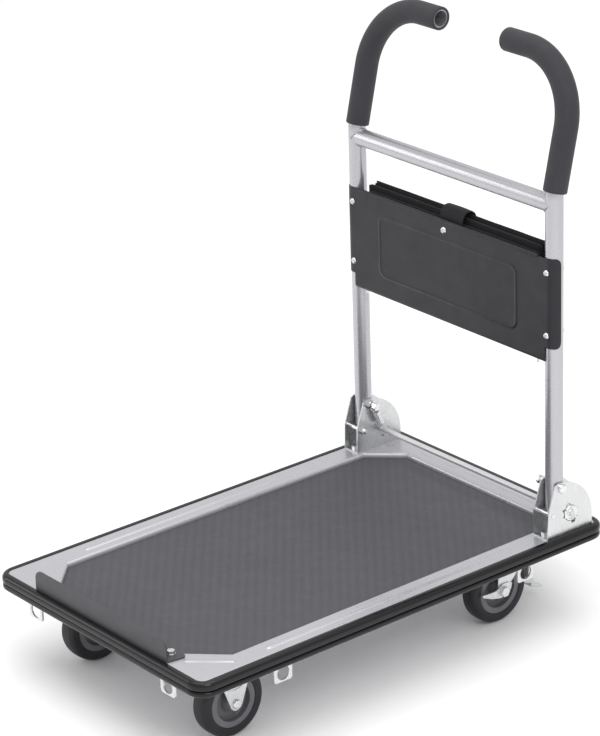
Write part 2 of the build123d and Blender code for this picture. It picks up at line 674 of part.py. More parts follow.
def make_rim(cx, cy):
    with BuildPart() as rm:
        with BuildSketch(Plane(origin=(cx, cy, AXLE_Z), x_dir=(1, 0, 0), z_dir=(0, -1, 0))):
            h = HUB_HALF
            with BuildLine():
                Polyline((-h, SLV + 0.05), (-h, 11), (-h + 5, 13), (-4, 15), (-3, 17), (-3, 24.5), (-5, 26.5), (-12.2, 27.5), (-12.2, RIM_R),
                         (12.2, RIM_R), (12.2, 27.5), (5, 26.5), (3, 24.5), (3, 17), (4, 15), (h - 5, 13), (h, 11), (h, SLV + 0.05), close=True)
            make_face()
        revolve(axis=Axis((cx, cy, AXLE_Z), (1, 0, 0)))
    return rm.part


def make_tyre(cx, cy):
    with BuildPart() as ty:
        with BuildSketch(Plane(origin=(cx, cy, AXLE_Z), x_dir=(1, 0, 0), z_dir=(0, -1, 0))):
            w = WHEEL_W / 2
            with BuildLine():
                Polyline((-w + 1.8, RIM_R), (-w, RIM_R + 3), (-w, WHEEL_R - 6.5))
                ThreePointArc((-w, WHEEL_R - 6.5), (-w + 2.6, WHEEL_R - 2.2), (-w + 7.5, WHEEL_R - 0.3))
                ThreePointArc((-w + 7.5, WHEEL_R - 0.3), (0, WHEEL_R), (w - 7.5, WHEEL_R - 0.3))
                ThreePointArc((w - 7.5, WHEEL_R - 0.3), (w - 2.6, WHEEL_R - 2.2), (w, WHEEL_R - 6.5))
                Polyline((w, WHEEL_R - 6.5), (w, RIM_R + 3), (w - 1.8, RIM_R), (-w + 1.8, RIM_R))
            make_face()
        revolve(axis=Axis((cx, cy, AXLE_Z), (1, 0, 0)))
    return ty.part


for side, sx in (("left", -1), ("right", 1)):
    save(make_rim(sx * FRONT_X, FRONT_Y), "front_wheel_rim_" + side)
    save(make_tyre(sx * FRONT_X, FRONT_Y), "front_tyre_" + side)
    save(make_rim(sx * REAR_X, REAR_Y), "rear_wheel_rim_" + side)
    save(make_tyre(sx * REAR_X, REAR_Y), "rear_tyre_" + side)

# -------------------------------------------------------------- rear casters, swivelling
RACE_Z = CPL_TOP - PLATE_T


def make_top_plate(sx):
    with BuildPart() as tp:
        with BuildSketch(Plane.XY.offset(RACE_Z)):
            with Locations((sx * REAR_X, KING_Y)):
                RectangleRounded(80, 100, 8)
                with GridLocations(56, 76, 2, 2):
                    SlotCenterToCenter(4, 8.6, mode=Mode.SUBTRACT)
                Circle(6.2, mode=Mode.SUBTRACT)
        extrude(amount=PLATE_T)
        # upper ball race cup
        with BuildSketch(Plane(origin=(sx * REAR_X, KING_Y, 0), x_dir=(1, 0, 0), z_dir=(0, -1, 0))):
            with BuildLine():
                Polyline((6.2, RACE_Z), (26, RACE_Z), (28, RACE_Z - 2), (28, RACE_Z - 6), (25, RACE_Z - 7), (22, RACE_Z - 4), (6.2, RACE_Z - 4), close=True)
            make_face()
        revolve(axis=Axis((sx * REAR_X, KING_Y, 0), (0, 0, 1)))
    return tp.part


for side, sx in (("left", -1), ("right", 1)):
    save(make_top_plate(sx), "rear_top_plate_" + side)

with BuildPart() as kingpins:
    for sx in (-1, 1):
        with BuildSketch(Plane.XY.offset(RACE_Z - 13.5)):
            with Locations((sx * REAR_X, KING_Y)):
                Circle(6.2)
        extrude(amount=16)
        with BuildSketch(Plane.XY.offset(RACE_Z - 17)):
            with Locations((sx * REAR_X, KING_Y)):
                Circle(9.5)
        extrude(amount=3.5)
    fillet(kingpins.edges().group_by(Axis.Z)[0], 1.5)
save(kingpins.part, "kingpins")

CROWN_T = 2.5
CROWN_Z = RACE_Z - 13.2          # underside of the crown


def make_rear_fork(sx):
    cx = sx * REAR_X
    with BuildPart() as rf:
        # crown
        with BuildSketch(Plane.XY.offset(CROWN_Z)):
            with Locations((cx, KING_Y)):
                Circle(30)
            with Locations((cx, KING_Y - 12)):
                Rectangle(2 * (LEG_IN + LEG_T), 44)
        extrude(amount=CROWN_T)
        # lower race boss that runs inside the upper cup
        with BuildSketch(Plane.XY.offset(CROWN_Z + CROWN_T - 0.2)):
            with Locations((cx, KING_Y)):
                Circle(20.5)
        extrude(amount=RACE_Z - 4.5 - (CROWN_Z + CROWN_T - 0.2))
        with Locations(Plane.XY.offset(RACE_Z)):
            with Locations((cx, KING_Y)):
                Hole(6.25, depth=40)
        for s in (-1, 1):
            x0 = cx + (LEG_IN if s > 0 else -LEG_IN - LEG_T)
            with BuildSketch(Plane.YZ.offset(x0)):
                with BuildLine():
                    Polyline((REAR_Y - 6, CROWN_Z + 0.5), (REAR_Y - 9.3, 50), (REAR_Y - 6.5, 43.2), (REAR_Y, 40.6), (REAR_Y + 6.5, 43.2), (REAR_Y + 13, 56), (REAR_Y + 28, 72),
                             (REAR_Y + 46, 74), (REAR_Y + 56, 79), (REAR_Y + 57, 90), (REAR_Y + 50, CROWN_Z + 0.5), close=True)
                make_face()
                with Locations((REAR_Y, AXLE_Z)):
                    Circle(4.05, mode=Mode.SUBTRACT)
                with Locations((REAR_Y + 49, 82)):
                    Circle(2.05, mode=Mode.SUBTRACT)
            extrude(amount=LEG_T)
    return rf.part


def make_rear_axle(sx):
    cx = sx * REAR_X
    a = LEG_IN + LEG_T + 1.8
    with BuildPart() as ax:
        # bolt with its head outboard, sleeve between the legs, nut inboard
        with BuildSketch(Plane.YZ.offset(cx - a - 8 if sx > 0 else cx - a)):
            with Locations((REAR_Y, AXLE_Z)):
                Circle(4.0)
        extrude(amount=2 * a + 8)
        with BuildSketch(Plane.YZ.offset(cx + a if sx > 0 else cx - a - 5)):
            with Locations((REAR_Y, AXLE_Z)):
                RegularPolygon(7.4, 6)
        extrude(amount=5)
    return ax.part


def make_rear_sleeve(sx):
    cx = sx * REAR_X
    with BuildPart() as sl:
        with BuildSketch(Plane.YZ.offset(cx - LEG_IN)):
            with Locations((REAR_Y, AXLE_Z)):
                Circle(SLV)
                Circle(4.0, mode=Mode.SUBTRACT)
        extrude(amount=2 * LEG_IN)
        x0 = cx - sx * (LEG_IN + LEG_T + 1.8)
        with BuildSketch(Plane.YZ.offset(x0 - 6.5 if sx > 0 else x0)):
            with Locations((REAR_Y, AXLE_Z)):
                RegularPolygon(7.3, 6)
                Circle(4.0, mode=Mode.SUBTRACT)
        extrude(amount=6.5)
    return sl.part


def make_stays(sx):
    cx = sx * REAR_X
    with BuildPart() as st:
        for s in (-1, 1):
            x0 = cx + (LEG_IN + LEG_T if s > 0 else -LEG_IN - LEG_T - 1.8)
            with BuildSketch(Plane.YZ.offset(x0)):
                with BuildLine():
                    Polyline((REAR_Y - 40, 55.5), (REAR_Y - 38, 52), (REAR_Y - 22, 45), (REAR_Y - 6, 41), (REAR_Y + 6, 42.5), (REAR_Y + 14, 50), (REAR_Y + 16, 58),
                             (REAR_Y + 9, 61), (REAR_Y - 2, 61), (REAR_Y - 14, 54.5), (REAR_Y - 26, 54.5), close=True)
                make_face()
                with Locations((REAR_Y, AXLE_Z)):
                    Circle(4.05, mode=Mode.SUBTRACT)
            extrude(amount=1.8)
    return st.part


PED_Y, PED_Z = REAR_Y + 49, 82.0
TONGUE_W, TONGUE_Y, TONGUE_Z = 26.0, REAR_Y + 89.0, 23.5


def make_pedal(sx):
    cx = sx * REAR_X
    with BuildPart() as pd:
        # side cheeks on the pedal pin, reaching down beside the tyre
        for s in (-1, 1):
            x0 = cx + (LEG_IN - 2.0 if s > 0 else -LEG_IN + 0.2)
            with BuildSketch(Plane.YZ.offset(x0)):
                with BuildLine():
                    Polyline((PED_Y - 6, PED_Z + 5), (PED_Y + 5, PED_Z + 5), (PED_Y + 9, PED_Z - 16), (PED_Y + 12, 46), (PED_Y + 12, 40.5), (PED_Y - 1, 44.5), (PED_Y - 7, 48.5),
                             (PED_Y + 2, 52), (PED_Y + 3, PED_Z - 14), (PED_Y - 6, PED_Z - 5), close=True)
                make_face()
                with Locations((PED_Y, PED_Z)):
                    Circle(2.05, mode=Mode.SUBTRACT)
            extrude(amount=1.8)
        # web and shoe between the cheeks
        with BuildSketch(Plane.YZ.offset(cx - LEG_IN + 0.2)):
            with BuildLine():
                Polyline((PED_Y + 7.0, PED_Z - 6), (PED_Y + 9, PED_Z - 16), (PED_Y + 12, 46), (PED_Y + 9.5, 43), (PED_Y + 6.5, PED_Z - 16), (PED_Y + 5, PED_Z - 6), close=True)
            make_face()
        extrude(amount=2 * (LEG_IN - 0.2))
        # foot tongue: a short drop below the web, then a blade sloping down and outwards to a rounded tip
        with BuildSketch(Plane.YZ.offset(cx - TONGUE_W / 2)):
            with BuildLine():
                Polyline((PED_Y + 12, 46), (PED_Y + 9.5, 43), (PED_Y + 10, 36.5), (PED_Y + 11.5, 33), (TONGUE_Y, TONGUE_Z - 2.2), (TONGUE_Y, TONGUE_Z),
                         (PED_Y + 13, 35.6), (PED_Y + 12.2, 37.5), close=True)
            make_face()
        extrude(amount=TONGUE_W)
        # rounded tip
        with BuildSketch(Plane.XY.offset(10)):
            with Locations((cx, TONGUE_Y - TONGUE_W / 4)):
                Rectangle(TONGUE_W + 4, TONGUE_W / 2 + 1)
            with Locations((cx, TONGUE_Y - TONGUE_W / 2)):
                Circle(TONGUE_W / 2, mode=Mode.SUBTRACT)
        extrude(amount=20, mode=Mode.SUBTRACT)
    return pd.part


def make_pedal_pin(sx):
    cx = sx * REAR_X
    with BuildPart() as pp:
        with BuildSketch(Plane.YZ.offset(cx - LEG_IN - LEG_T - 1.5)):
            with Locations((PED_Y, PED_Z)):
                Circle(2.0)
        extrude(amount=2 * (LEG_IN + LEG_T + 1.5))
        for s in (-1, 1):
            with BuildSketch(Plane.YZ.offset(cx + (LEG_IN + LEG_T if s > 0 else -LEG_IN - LEG_T - 1.5))):
                with Locations((PED_Y, PED_Z)):
                    Circle(3.6)
            extrude(amount=1.5)
    return pp.part


for side, sx in (("left", -1), ("right", 1)):
    save(make_rear_fork(sx), "rear_fork_" + side)
    save(make_rear_axle(sx), "rear_axle_bolt_" + side)
    save(make_rear_sleeve(sx), "rear_axle_sleeve_nut_" + side)
    save(make_stays(sx), "brake_stays_" + side)
    save(make_pedal(sx), "brake_pedal_" + side)
    save(make_pedal_pin(sx), "pedal_pin_" + side)

# -------------------------------------------------------------- caster fasteners
BOLTS = [(sx * FRONT_X + dx, FRONT_Y + dy) for sx in (-1, 1) for dx in (-28, 28) for dy in (-38, 38)] + \
        [(sx * REAR_X + dx, KING_Y + dy) for sx in (-1, 1) for dx in (-28, 28) for dy in (-38, 38)]


with BuildPart() as caster_studs:
    with BuildSketch(Plane.XY.offset(CPL_TOP - PLATE_T - 8)):
        with Locations(*BOLTS):
            Circle(3.9)
    extrude(amount=PLATE_T + DOUBLER_T + 8)
save(caster_studs.part, "caster_studs")

with BuildPart() as caster_nuts:
    with BuildSketch(Plane.XY.offset(CPL_TOP - PLATE_T - 6.5)):
        with Locations(*BOLTS):
            RegularPolygon(7.3, 6)
            Circle(3.9, mode=Mode.SUBTRACT)
    extrude(amount=5.2)
    with BuildSketch(Plane.XY.offset(CPL_TOP - PLATE_T - 1.3)):
        with Locations(*BOLTS):
            Circle(8.0)
            Circle(3.9, mode=Mode.SUBTRACT)
    extrude(amount=1.3)
save(caster_nuts.part, "caster_nuts")
print("pieces written:", len(os.listdir("parts")))
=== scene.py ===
import bpy, bmesh, math, random, json
from mathutils import Vector, Matrix, noise


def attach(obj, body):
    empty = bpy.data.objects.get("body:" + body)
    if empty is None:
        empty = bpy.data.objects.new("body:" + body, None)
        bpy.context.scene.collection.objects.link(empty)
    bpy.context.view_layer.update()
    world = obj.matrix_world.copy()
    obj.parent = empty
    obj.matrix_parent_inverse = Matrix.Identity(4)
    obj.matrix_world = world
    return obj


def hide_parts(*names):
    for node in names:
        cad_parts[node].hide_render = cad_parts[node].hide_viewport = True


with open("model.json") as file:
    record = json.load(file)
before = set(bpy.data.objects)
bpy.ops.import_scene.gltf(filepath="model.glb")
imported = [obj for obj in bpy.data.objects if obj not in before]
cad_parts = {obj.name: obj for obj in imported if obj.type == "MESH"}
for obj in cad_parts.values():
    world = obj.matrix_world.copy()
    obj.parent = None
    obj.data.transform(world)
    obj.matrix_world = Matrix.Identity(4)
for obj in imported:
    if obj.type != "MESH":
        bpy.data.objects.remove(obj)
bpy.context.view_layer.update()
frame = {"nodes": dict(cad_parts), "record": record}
nodes = frame["nodes"]
MM = 0.001
random.seed(7)

# ------------------------------------------------------------------ materials
def new_mat(name):
    m = bpy.data.materials.new(name)
    m.use_nodes = True
    nt = m.node_tree
    b = nt.nodes["Principled BSDF"]
    return m, nt, b

def tex(nt, kind, **kw):
    n = nt.nodes.new(kind)
    for k, v in kw.items():
        if k in n.inputs.keys():
            n.inputs[k].default_value = v
        else:
            setattr(n, k, v)
    return n

def noise_tex(nt, co, scale, detail=4.0, rough=0.55):
    n = nt.nodes.new("ShaderNodeTexNoise")
    n.inputs["Scale"].default_value = scale
    n.inputs["Detail"].default_value = detail
    n.inputs["Roughness"].default_value = rough
    nt.links.new(co, n.inputs["Vector"])
    return n.outputs["Fac"]

def ramp(nt, fac, c0, c1, p0=0.3, p1=0.7):
    r = nt.nodes.new("ShaderNodeValToRGB")
    r.color_ramp.elements[0].position = p0
    r.color_ramp.elements[1].position = p1
    r.color_ramp.elements[0].color = (*c0, 1)
    r.color_ramp.elements[1].color = (*c1, 1)
    nt.links.new(fac, r.inputs["Fac"])
    return r.outputs["Color"]

def maprange(nt, fac, a, b, f0=0.0, f1=1.0):
    r = nt.nodes.new("ShaderNodeMapRange")
    r.inputs["From Min"].default_value = f0
    r.inputs["From Max"].default_value = f1
    r.inputs["To Min"].default_value = a
    r.inputs["To Max"].default_value = b
    nt.links.new(fac, r.inputs["Value"])
    return r.outputs["Result"]

def math_node(nt, op, a, b=None):
    n = nt.nodes.new("ShaderNodeMath")
    n.operation = op
    for i, v in enumerate((a, b)):
        if v is None:
            continue
        if isinstance(v, (int, float)):
            n.inputs[i].default_value = v
        else:
            nt.links.new(v, n.inputs[i])
    return n.outputs[0]

def mix_col(nt, fac, a, b, mode="MIX"):
    n = nt.nodes.new("ShaderNodeMix")
    n.data_type = "RGBA"
    n.blend_type = mode
    for s, v in ((0, fac), (6, a), (7, b)):
        if isinstance(v, (int, float)):
            n.inputs[s].default_value = v
        elif isinstance(v, tuple):
            n.inputs[s].default_value = (*v, 1)
        else:
            nt.links.new(v, n.inputs[s])
    return n.outputs[2]

def coords(nt):
    return nt.nodes.new("ShaderNodeTexCoord").outputs["Object"]

def bump(nt, b, height, strength, dist, under=None):
    n = nt.nodes.new("ShaderNodeBump")
    n.inputs["Strength"].default_value = strength
    n.inputs["Distance"].default_value = dist
    nt.links.new(height, n.inputs["Height"])
    if under is not None:
        nt.links.new(under, n.inputs["Normal"])
    if b is not None:
        nt.links.new(n.outputs["Normal"], b.inputs["Normal"])
    return n.outputs["Normal"]

def sc(c, k):
    return tuple(min(1.0, x * k) for x in c)

def coated(name, base, rough, metal=0.0, var=0.05, peel=220, peel_s=0.10, coat=0.0, crease_shade_amt=0.12, wear=1.0, fine_s=0.06, rv=(0.82, 1.22), spec=0.5, speck=0.12):
    """Paint or powder coat: orange peel, faint mottling, painted shade darkening concave creases, brighter worn
    edges.
    """
    m, nt, b = new_mat(name)
    co = coords(nt)
    big = noise_tex(nt, co, 7.0, 5)
    col = ramp(nt, big, sc(base, 1 - var), sc(base, 1 + var))
    fine = noise_tex(nt, co, 900.0, 2)
    col = mix_col(nt, maprange(nt, fine, 0.0, speck, 0.45, 0.75), col, sc(base, 1.2))
    geo = nt.nodes.new("ShaderNodeNewGeometry")
    edge = maprange(nt, geo.outputs["Pointiness"], 0.0, 0.35, 0.52, 0.62)
    smudge = noise_tex(nt, co, 38.0, 6)
    edge = math_node(nt, "MULTIPLY", edge, maprange(nt, smudge, 0.0, wear, 0.42, 0.6))
    col = mix_col(nt, edge, col, sc(base, 1.5))
    # painted shade: concave creases (low pointiness) darkened towards 0.45 of the base colour
    crease_shade_mask = maprange(nt, geo.outputs["Pointiness"], crease_shade_amt, 0.0, 0.40, 0.49)
    col = mix_col(nt, crease_shade_mask, col, sc(base, 0.45))
    nt.links.new(col, b.inputs["Base Color"])
    nt.links.new(maprange(nt, smudge, rough * rv[0], rough * rv[1], 0.3, 0.7), b.inputs["Roughness"])
    b.inputs["Specular IOR Level"].default_value = spec
    b.inputs["Metallic"].default_value = metal
    b.inputs["Coat Weight"].default_value = coat
    b.inputs["Coat Roughness"].default_value = 0.12
    n0 = bump(nt, None, noise_tex(nt, co, peel, 2), peel_s, 0.0006)
    bump(nt, b, noise_tex(nt, co, 2600.0, 1), fine_s, 0.0002, n0)
    return m

def plated(name, base, rough, spangle=140.0, streak=None):
    """Zinc-plated steel: soft crystalline variation, rolling streaks and small scuffs."""
    m, nt, b = new_mat(name)
    co = coords(nt)
    v = nt.nodes.new("ShaderNodeTexVoronoi")
    v.inputs["Scale"].default_value = spangle
    nt.links.new(co, v.inputs["Vector"])
    sp = nt.nodes.new("ShaderNodeSeparateColor")
    nt.links.new(v.outputs["Color"], sp.inputs[0])
    big = noise_tex(nt, co, 14.0, 6)
    col = ramp(nt, big, sc(base, 0.94), sc(base, 1.05))
    col = mix_col(nt, maprange(nt, sp.outputs[0], 0.0, 0.06), col, sc(base, 0.8))
    mp = nt.nodes.new("ShaderNodeMapping")
    mp.inputs["Scale"].default_value = streak or (20, 400, 20)
    nt.links.new(co, mp.inputs["Vector"])
    st = noise_tex(nt, mp.outputs["Vector"], 1.0, 4)
    geo = nt.nodes.new("ShaderNodeNewGeometry")
    # painted shade: concave creases (low pointiness) darkened towards 0.3 of the base colour
    crease_shade_mask = maprange(nt, geo.outputs["Pointiness"], 0.35, 0.0, 0.38, 0.49)
    col = mix_col(nt, crease_shade_mask, col, sc(base, 0.3))
    nt.links.new(col, b.inputs["Base Color"])
    b.inputs["Metallic"].default_value = 1.0
    r = math_node(nt, "ADD", maprange(nt, st, rough * 0.75, rough * 1.2, 0.3, 0.7), maprange(nt, sp.outputs[1], 0.0, 0.08))
    nt.links.new(r, b.inputs["Roughness"])
    n0 = bump(nt, None, st, 0.04, 0.0002)
    bump(nt, b, noise_tex(nt, co, 60.0, 3), 0.02, 0.0008, n0)
    return m

def rubberish(name, base, rough, pore=1200.0, pore_s=0.25, var=0.10, sheen=0.0, dust=0.35, spec=0.5):
    m, nt, b = new_mat(name)
    co = coords(nt)
    big = noise_tex(nt, co, 11.0, 6)
    col = ramp(nt, big, sc(base, 1 - var), sc(base, 1 + var))
    patch = noise_tex(nt, co, 46.0, 8, 0.7)
    col = mix_col(nt, maprange(nt, patch, 0.0, dust, 0.50, 0.78), col, sc(base, 2.1))
    nt.links.new(col, b.inputs["Base Color"])
    nt.links.new(maprange(nt, patch, rough * 0.85, min(1.0, rough * 1.15), 0.3, 0.7), b.inputs["Roughness"])
    b.inputs["Sheen Weight"].default_value = sheen
    b.inputs["Specular IOR Level"].default_value = spec
    b.inputs["Sheen Roughness"].default_value = 0.5
    v = nt.nodes.new("ShaderNodeTexVoronoi")
    v.inputs["Scale"].default_value = pore
    nt.links.new(co, v.inputs["Vector"])
    n0 = bump(nt, None, v.outputs["Distance"], pore_s, 0.0003)
    bump(nt, b, noise_tex(nt, co, 90.0, 4), 0.10, 0.0008, n0)
    return m

def fabric(name, base, pitch=0.0009, axes=("X", "Z"), rib=False):
    m, nt, b = new_mat(name)
    co = coords(nt)
    sep = nt.nodes.new("ShaderNodeSeparateXYZ")
    nt.links.new(co, sep.inputs[0])
    k = 2 * math.pi / pitch
    a = math_node(nt, "SINE", math_node(nt, "MULTIPLY", sep.outputs[axes[0]], k))
    c = math_node(nt, "SINE", math_node(nt, "MULTIPLY", sep.outputs[axes[1]], k * (0.35 if rib else 1.0)))
    weave = math_node(nt, "MULTIPLY", a, c)
    weave01 = maprange(nt, weave, 0.0, 1.0, -1.0, 1.0)
    big = noise_tex(nt, co, 16.0, 6)
    col = ramp(nt, big, sc(base, 0.82), sc(base, 1.2))
    col = mix_col(nt, maprange(nt, weave01, 0.0, 0.40), col, sc(base, 1.9))
    fuzz = noise_tex(nt, co, 420.0, 5)
    col = mix_col(nt, maprange(nt, fuzz, 0.0, 0.25, 0.5, 0.8), col, sc(base, 2.4))
    nt.links.new(col, b.inputs["Base Color"])
    nt.links.new(maprange(nt, big, 0.78, 0.92), b.inputs["Roughness"])
    b.inputs["Sheen Weight"].default_value = 0.08
    b.inputs["Specular IOR Level"].default_value = 0.3
    b.inputs["Sheen Roughness"].default_value = 0.45
    n0 = bump(nt, None, weave01, 0.5, 0.00025)
    bump(nt, b, noise_tex(nt, co, 60.0, 5), 0.25, 0.0015, n0)
    return m

def mat_material():
    """Anti-slip mat: rows of fine raised dots set at 45 degrees, with faint banding."""
    m, nt, b = new_mat("mat_rubber")
    co = coords(nt)
    mp = nt.nodes.new("ShaderNodeMapping")
    mp.inputs["Rotation"].default_value = (0, 0, math.radians(-50.4))
    nt.links.new(co, mp.inputs["Vector"])
    sep = nt.nodes.new("ShaderNodeSeparateXYZ")
    nt.links.new(mp.outputs["Vector"], sep.inputs[0])
    k = 2 * math.pi / 0.0032
    a = math_node(nt, "SINE", math_node(nt, "MULTIPLY", sep.outputs["X"], k))
    c = math_node(nt, "SINE", math_node(nt, "MULTIPLY", sep.outputs["Y"], k))
    dots = maprange(nt, math_node(nt, "MULTIPLY", a, c), 0.0, 1.0, 0.0, 0.9)
    band = math_node(nt, "SINE", math_node(nt, "MULTIPLY", sep.outputs["X"], 2 * math.pi / 0.0124))
    band = maprange(nt, band, 0.0, 1.0, -1.0, 1.0)
    base = (0.058, 0.057, 0.067)
    big = noise_tex(nt, co, 5.0, 6)
    col = ramp(nt, big, sc(base, 0.93), sc(base, 1.07))
    col = mix_col(nt, maprange(nt, band, 0.0, 0.28), col, sc(base, 1.5))
    col = mix_col(nt, maprange(nt, dots, 0.0, 0.20), col, sc(base, 1.6))
    scuff = noise_tex(nt, co, 34.0, 9, 0.75)
    col = mix_col(nt, maprange(nt, scuff, 0.0, 0.15, 0.55, 0.8), col, sc(base, 1.8))
    nt.links.new(col, b.inputs["Base Color"])
    nt.links.new(maprange(nt, scuff, 0.52, 0.72, 0.3, 0.7), b.inputs["Roughness"])
    n0 = bump(nt, None, dots, 0.55, 0.0005)
    bump(nt, b, noise_tex(nt, co, 700.0, 3), 0.12, 0.0002, n0)
    return m

M = {
    "steel": coated("pressed_steel_silver", (0.50, 0.50, 0.525), 0.29, metal=0.50, var=0.025, coat=0.15, crease_shade_amt=0.18, peel_s=0.05, fine_s=0.02),
    "tube": coated("tube_silver", (0.47, 0.47, 0.495), 0.27, metal=0.72, var=0.012, peel=300, peel_s=0.0, coat=0.1, crease_shade_amt=0.1, wear=0.04, fine_s=0.01, rv=(0.94, 1.08), speck=0.02),
    "dark": coated("dark_steel", (0.0135, 0.0135, 0.0180), 0.40, metal=0.0, var=0.06, peel=520, peel_s=0.08, wear=0.6, spec=0.36),
    # painted light: a lighter copy of the dark steel for the stop rail, standing for the light on its front face
    "rail": coated("dark_steel_lit_copy", (0.044, 0.044, 0.050), 0.42, metal=0.0, var=0.06, peel=520, peel_s=0.08, wear=0.6),
    "zinc": plated("zinc_plate", (0.66, 0.665, 0.67), 0.28),
    "rod": coated("zinc_rod", (0.60, 0.60, 0.62), 0.36, metal=0.4, var=0.04, peel_s=0.02, fine_s=0.01, wear=0.2),
    "bolt": plated("fastener_zinc", (0.74, 0.74, 0.74), 0.22, spangle=500.0, streak=(300, 300, 300)),
    "spring": plated("spring_steel", (0.78, 0.78, 0.80), 0.22, spangle=600.0),
    "bumper": coated("bumper_pvc", (0.0055, 0.0055, 0.0070), 0.20, var=0.12, peel=60, peel_s=0.03, coat=0.0, crease_shade_amt=0.0, wear=0.5, spec=0.36),
    "grip": rubberish("grip_foam", (0.024, 0.0235, 0.029), 0.74, pore=1500.0, pore_s=0.30, sheen=0.06),
    "tyre": rubberish("tyre_rubber", (0.0105, 0.0105, 0.0130), 0.52, pore=900.0, pore_s=0.10, dust=0.25, spec=0.42),
    # wheel grey darkened strongly in its recesses: painted shade
    "rim": coated("wheel_grey", (0.125, 0.125, 0.138), 0.42, var=0.06, peel=420, peel_s=0.10, crease_shade_amt=0.6, wear=0.5),
    "pedal": coated("pedal_plastic", (0.56, 0.57, 0.58), 0.30, metal=0.3, var=0.04),
    "bag": fabric("bag_fabric", (0.0042, 0.0042, 0.0055)),
    "strap": fabric("strap_webbing", (0.0085, 0.0085, 0.0105), pitch=0.0016, axes=("X", "Z"), rib=True),
    "mat": mat_material(),
}

def assign(obj, key):
    obj.data.materials.clear()
    obj.data.materials.append(M[key])

SLOT_OF = {s["node"]: s["material_slot"] for s in frame["record"]["subparts"]}
KEY_OF = {"pressed_steel_silver": "steel", "zinc_plate": "zinc", "mat_rubber": "mat", "bumper_pvc": "bumper", "tube_silver": "tube", "grip_foam": "grip",
          "dark_steel": "dark", "bag_fabric": "bag", "strap_webbing": "strap", "wheel_grey": "rim", "tyre_rubber": "tyre", "pedal_plastic": "pedal",
          "fastener_zinc": "bolt", "spring_steel": "spring"}
for n, o in nodes.items():
    # the stop rail takes the lighter painted-light copy of the dark steel
    assign(o, {"stop_rail": "rail", "lock_rod": "rod"}.get(n, KEY_OF[SLOT_OF[n]]))

# ------------------------------------------------------------------ mesh helpers (arguments in mm)
def make(name, verts, faces, key, smooth=30.0, solid=0.0, offset=0.0, sub=0):
    me = bpy.data.meshes.new(name)
    me.from_pydata([tuple(c * MM for c in v) for v in verts], [], faces)
    me.validate()
    bm = bmesh.new()
    bm.from_mesh(me)
    bmesh.ops.remove_doubles(bm, verts=bm.verts, dist=1e-6)
    bmesh.ops.recalc_face_normals(bm, faces=bm.faces)
    bm.to_mesh(me)
    bm.free()
    ob = bpy.data.objects.new(name, me)
    bpy.context.scene.collection.objects.link(ob)
    if solid:
        md = ob.modifiers.new("solid", "SOLIDIFY")
        md.thickness = solid * MM
        md.offset = offset
        md.use_even_offset = True
    if sub:
        md = ob.modifiers.new("sub", "SUBSURF")
        md.levels = md.render_levels = sub
    if solid or sub:
        dg = bpy.context.evaluated_depsgraph_get()
        me2 = bpy.data.meshes.new_from_object(ob.evaluated_get(dg))
        ob.modifiers.clear()
        ob.data = me2
        me2.name = name
    me = ob.data
    me.polygons.foreach_set("use_smooth", [True] * len(me.polygons))
    me.set_sharp_from_angle(angle=math.radians(smooth))
    ob.data.materials.clear()
    ob.data.materials.append(M[key])
    return ob

def frames_along(pts, closed=False):
    """Position, side and up vectors along a polyline, turned as little as possible."""
    P = [Vector(p) for p in pts]
    n = len(P)
    T = []
    for i in range(n):
        a = P[i - 1] if (i > 0 or closed) else P[i]
        b = P[(i + 1) % n] if (i < n - 1 or closed) else P[i]
        T.append((b - a).normalized())
    ref = Vector((1, 0, 0)) if abs(T[0].x) < 0.8 else Vector((0, 0, 1))
    u = (ref - T[0] * ref.dot(T[0])).normalized()
    out = []
    for i in range(n):
        u = (u - T[i] * u.dot(T[i])).normalized()
        out.append((P[i], u, T[i].cross(u)))
    return out

def sweep(pts, prof, closed_prof=True, closed_path=False, caps=True, scale=None, base_index=0):
    """Vertices and faces of a profile [(a, b)...] swept along a polyline."""
    fr = frames_along(pts, closed_path)
    m = len(prof)
    V, F = [], []
    for i, (p, u, w) in enumerate(fr):
        k = scale(i, len(fr)) if scale else 1.0
        for a, b in prof:
            V.append(tuple(p + u * a * k + w * b * k))
    nrow = len(fr)
    rows = nrow if closed_path else nrow - 1
    for i in range(rows):
        j = (i + 1) % nrow
        for q in range(m if closed_prof else m - 1):
            r = (q + 1) % m
            F.append((i * m + q, i * m + r, j * m + r, j * m + q))
    if caps and not closed_path and closed_prof:
        F.append(tuple(range(m - 1, -1, -1)))
        F.append(tuple((nrow - 1) * m + q for q in range(m)))
    return V, F

def join(parts):
    V, F = [], []
    for v, f in parts:
        o = len(V)
        V += v
        F += [tuple(i + o for i in q) for q in f]
    return V, F

def circle(r, n=32):
    return [(r * math.cos(2 * math.pi * i / n), r * math.sin(2 * math.pi * i / n)) for i in range(n)]

def fillet_path(pts, radii, step=4.0):
    """Points along straight runs joined by tangent arcs."""
    P = [Vector(p) for p in pts]
    out = [P[0]]
    for i in range(1, len(P) - 1):
        a = (P[i - 1] - P[i]).normalized()
        b = (P[i + 1] - P[i]).normalized()
        ang = a.angle(b)
        t = radii[i - 1] / math.tan(ang / 2)
        s = P[i] + a * t
        c = P[i] + (a + b).normalized() * (radii[i - 1] / math.sin(ang / 2))
        sweep_ang = math.pi - ang
        axis = (s - c).cross(P[i] + b * t - c).normalized()
        last = out[-1]
        m = max(1, int((s - last).length / 12))
        out += [last.lerp(s, k / m) for k in range(1, m + 1)]
        k = max(3, int(radii[i - 1] * sweep_ang / step))
        for j in range(1, k + 1):
            out.append(c + Matrix.Rotation(sweep_ang * j / k, 3, axis) @ (s - c))
    last = out[-1]
    m = max(1, int((P[-1] - last).length / 12))
    out += [last.lerp(P[-1], k / m) for k in range(1, m + 1)]
    return out

TX, TY, TR = 200.5, 281.0, 12.5
YF = TY - TR
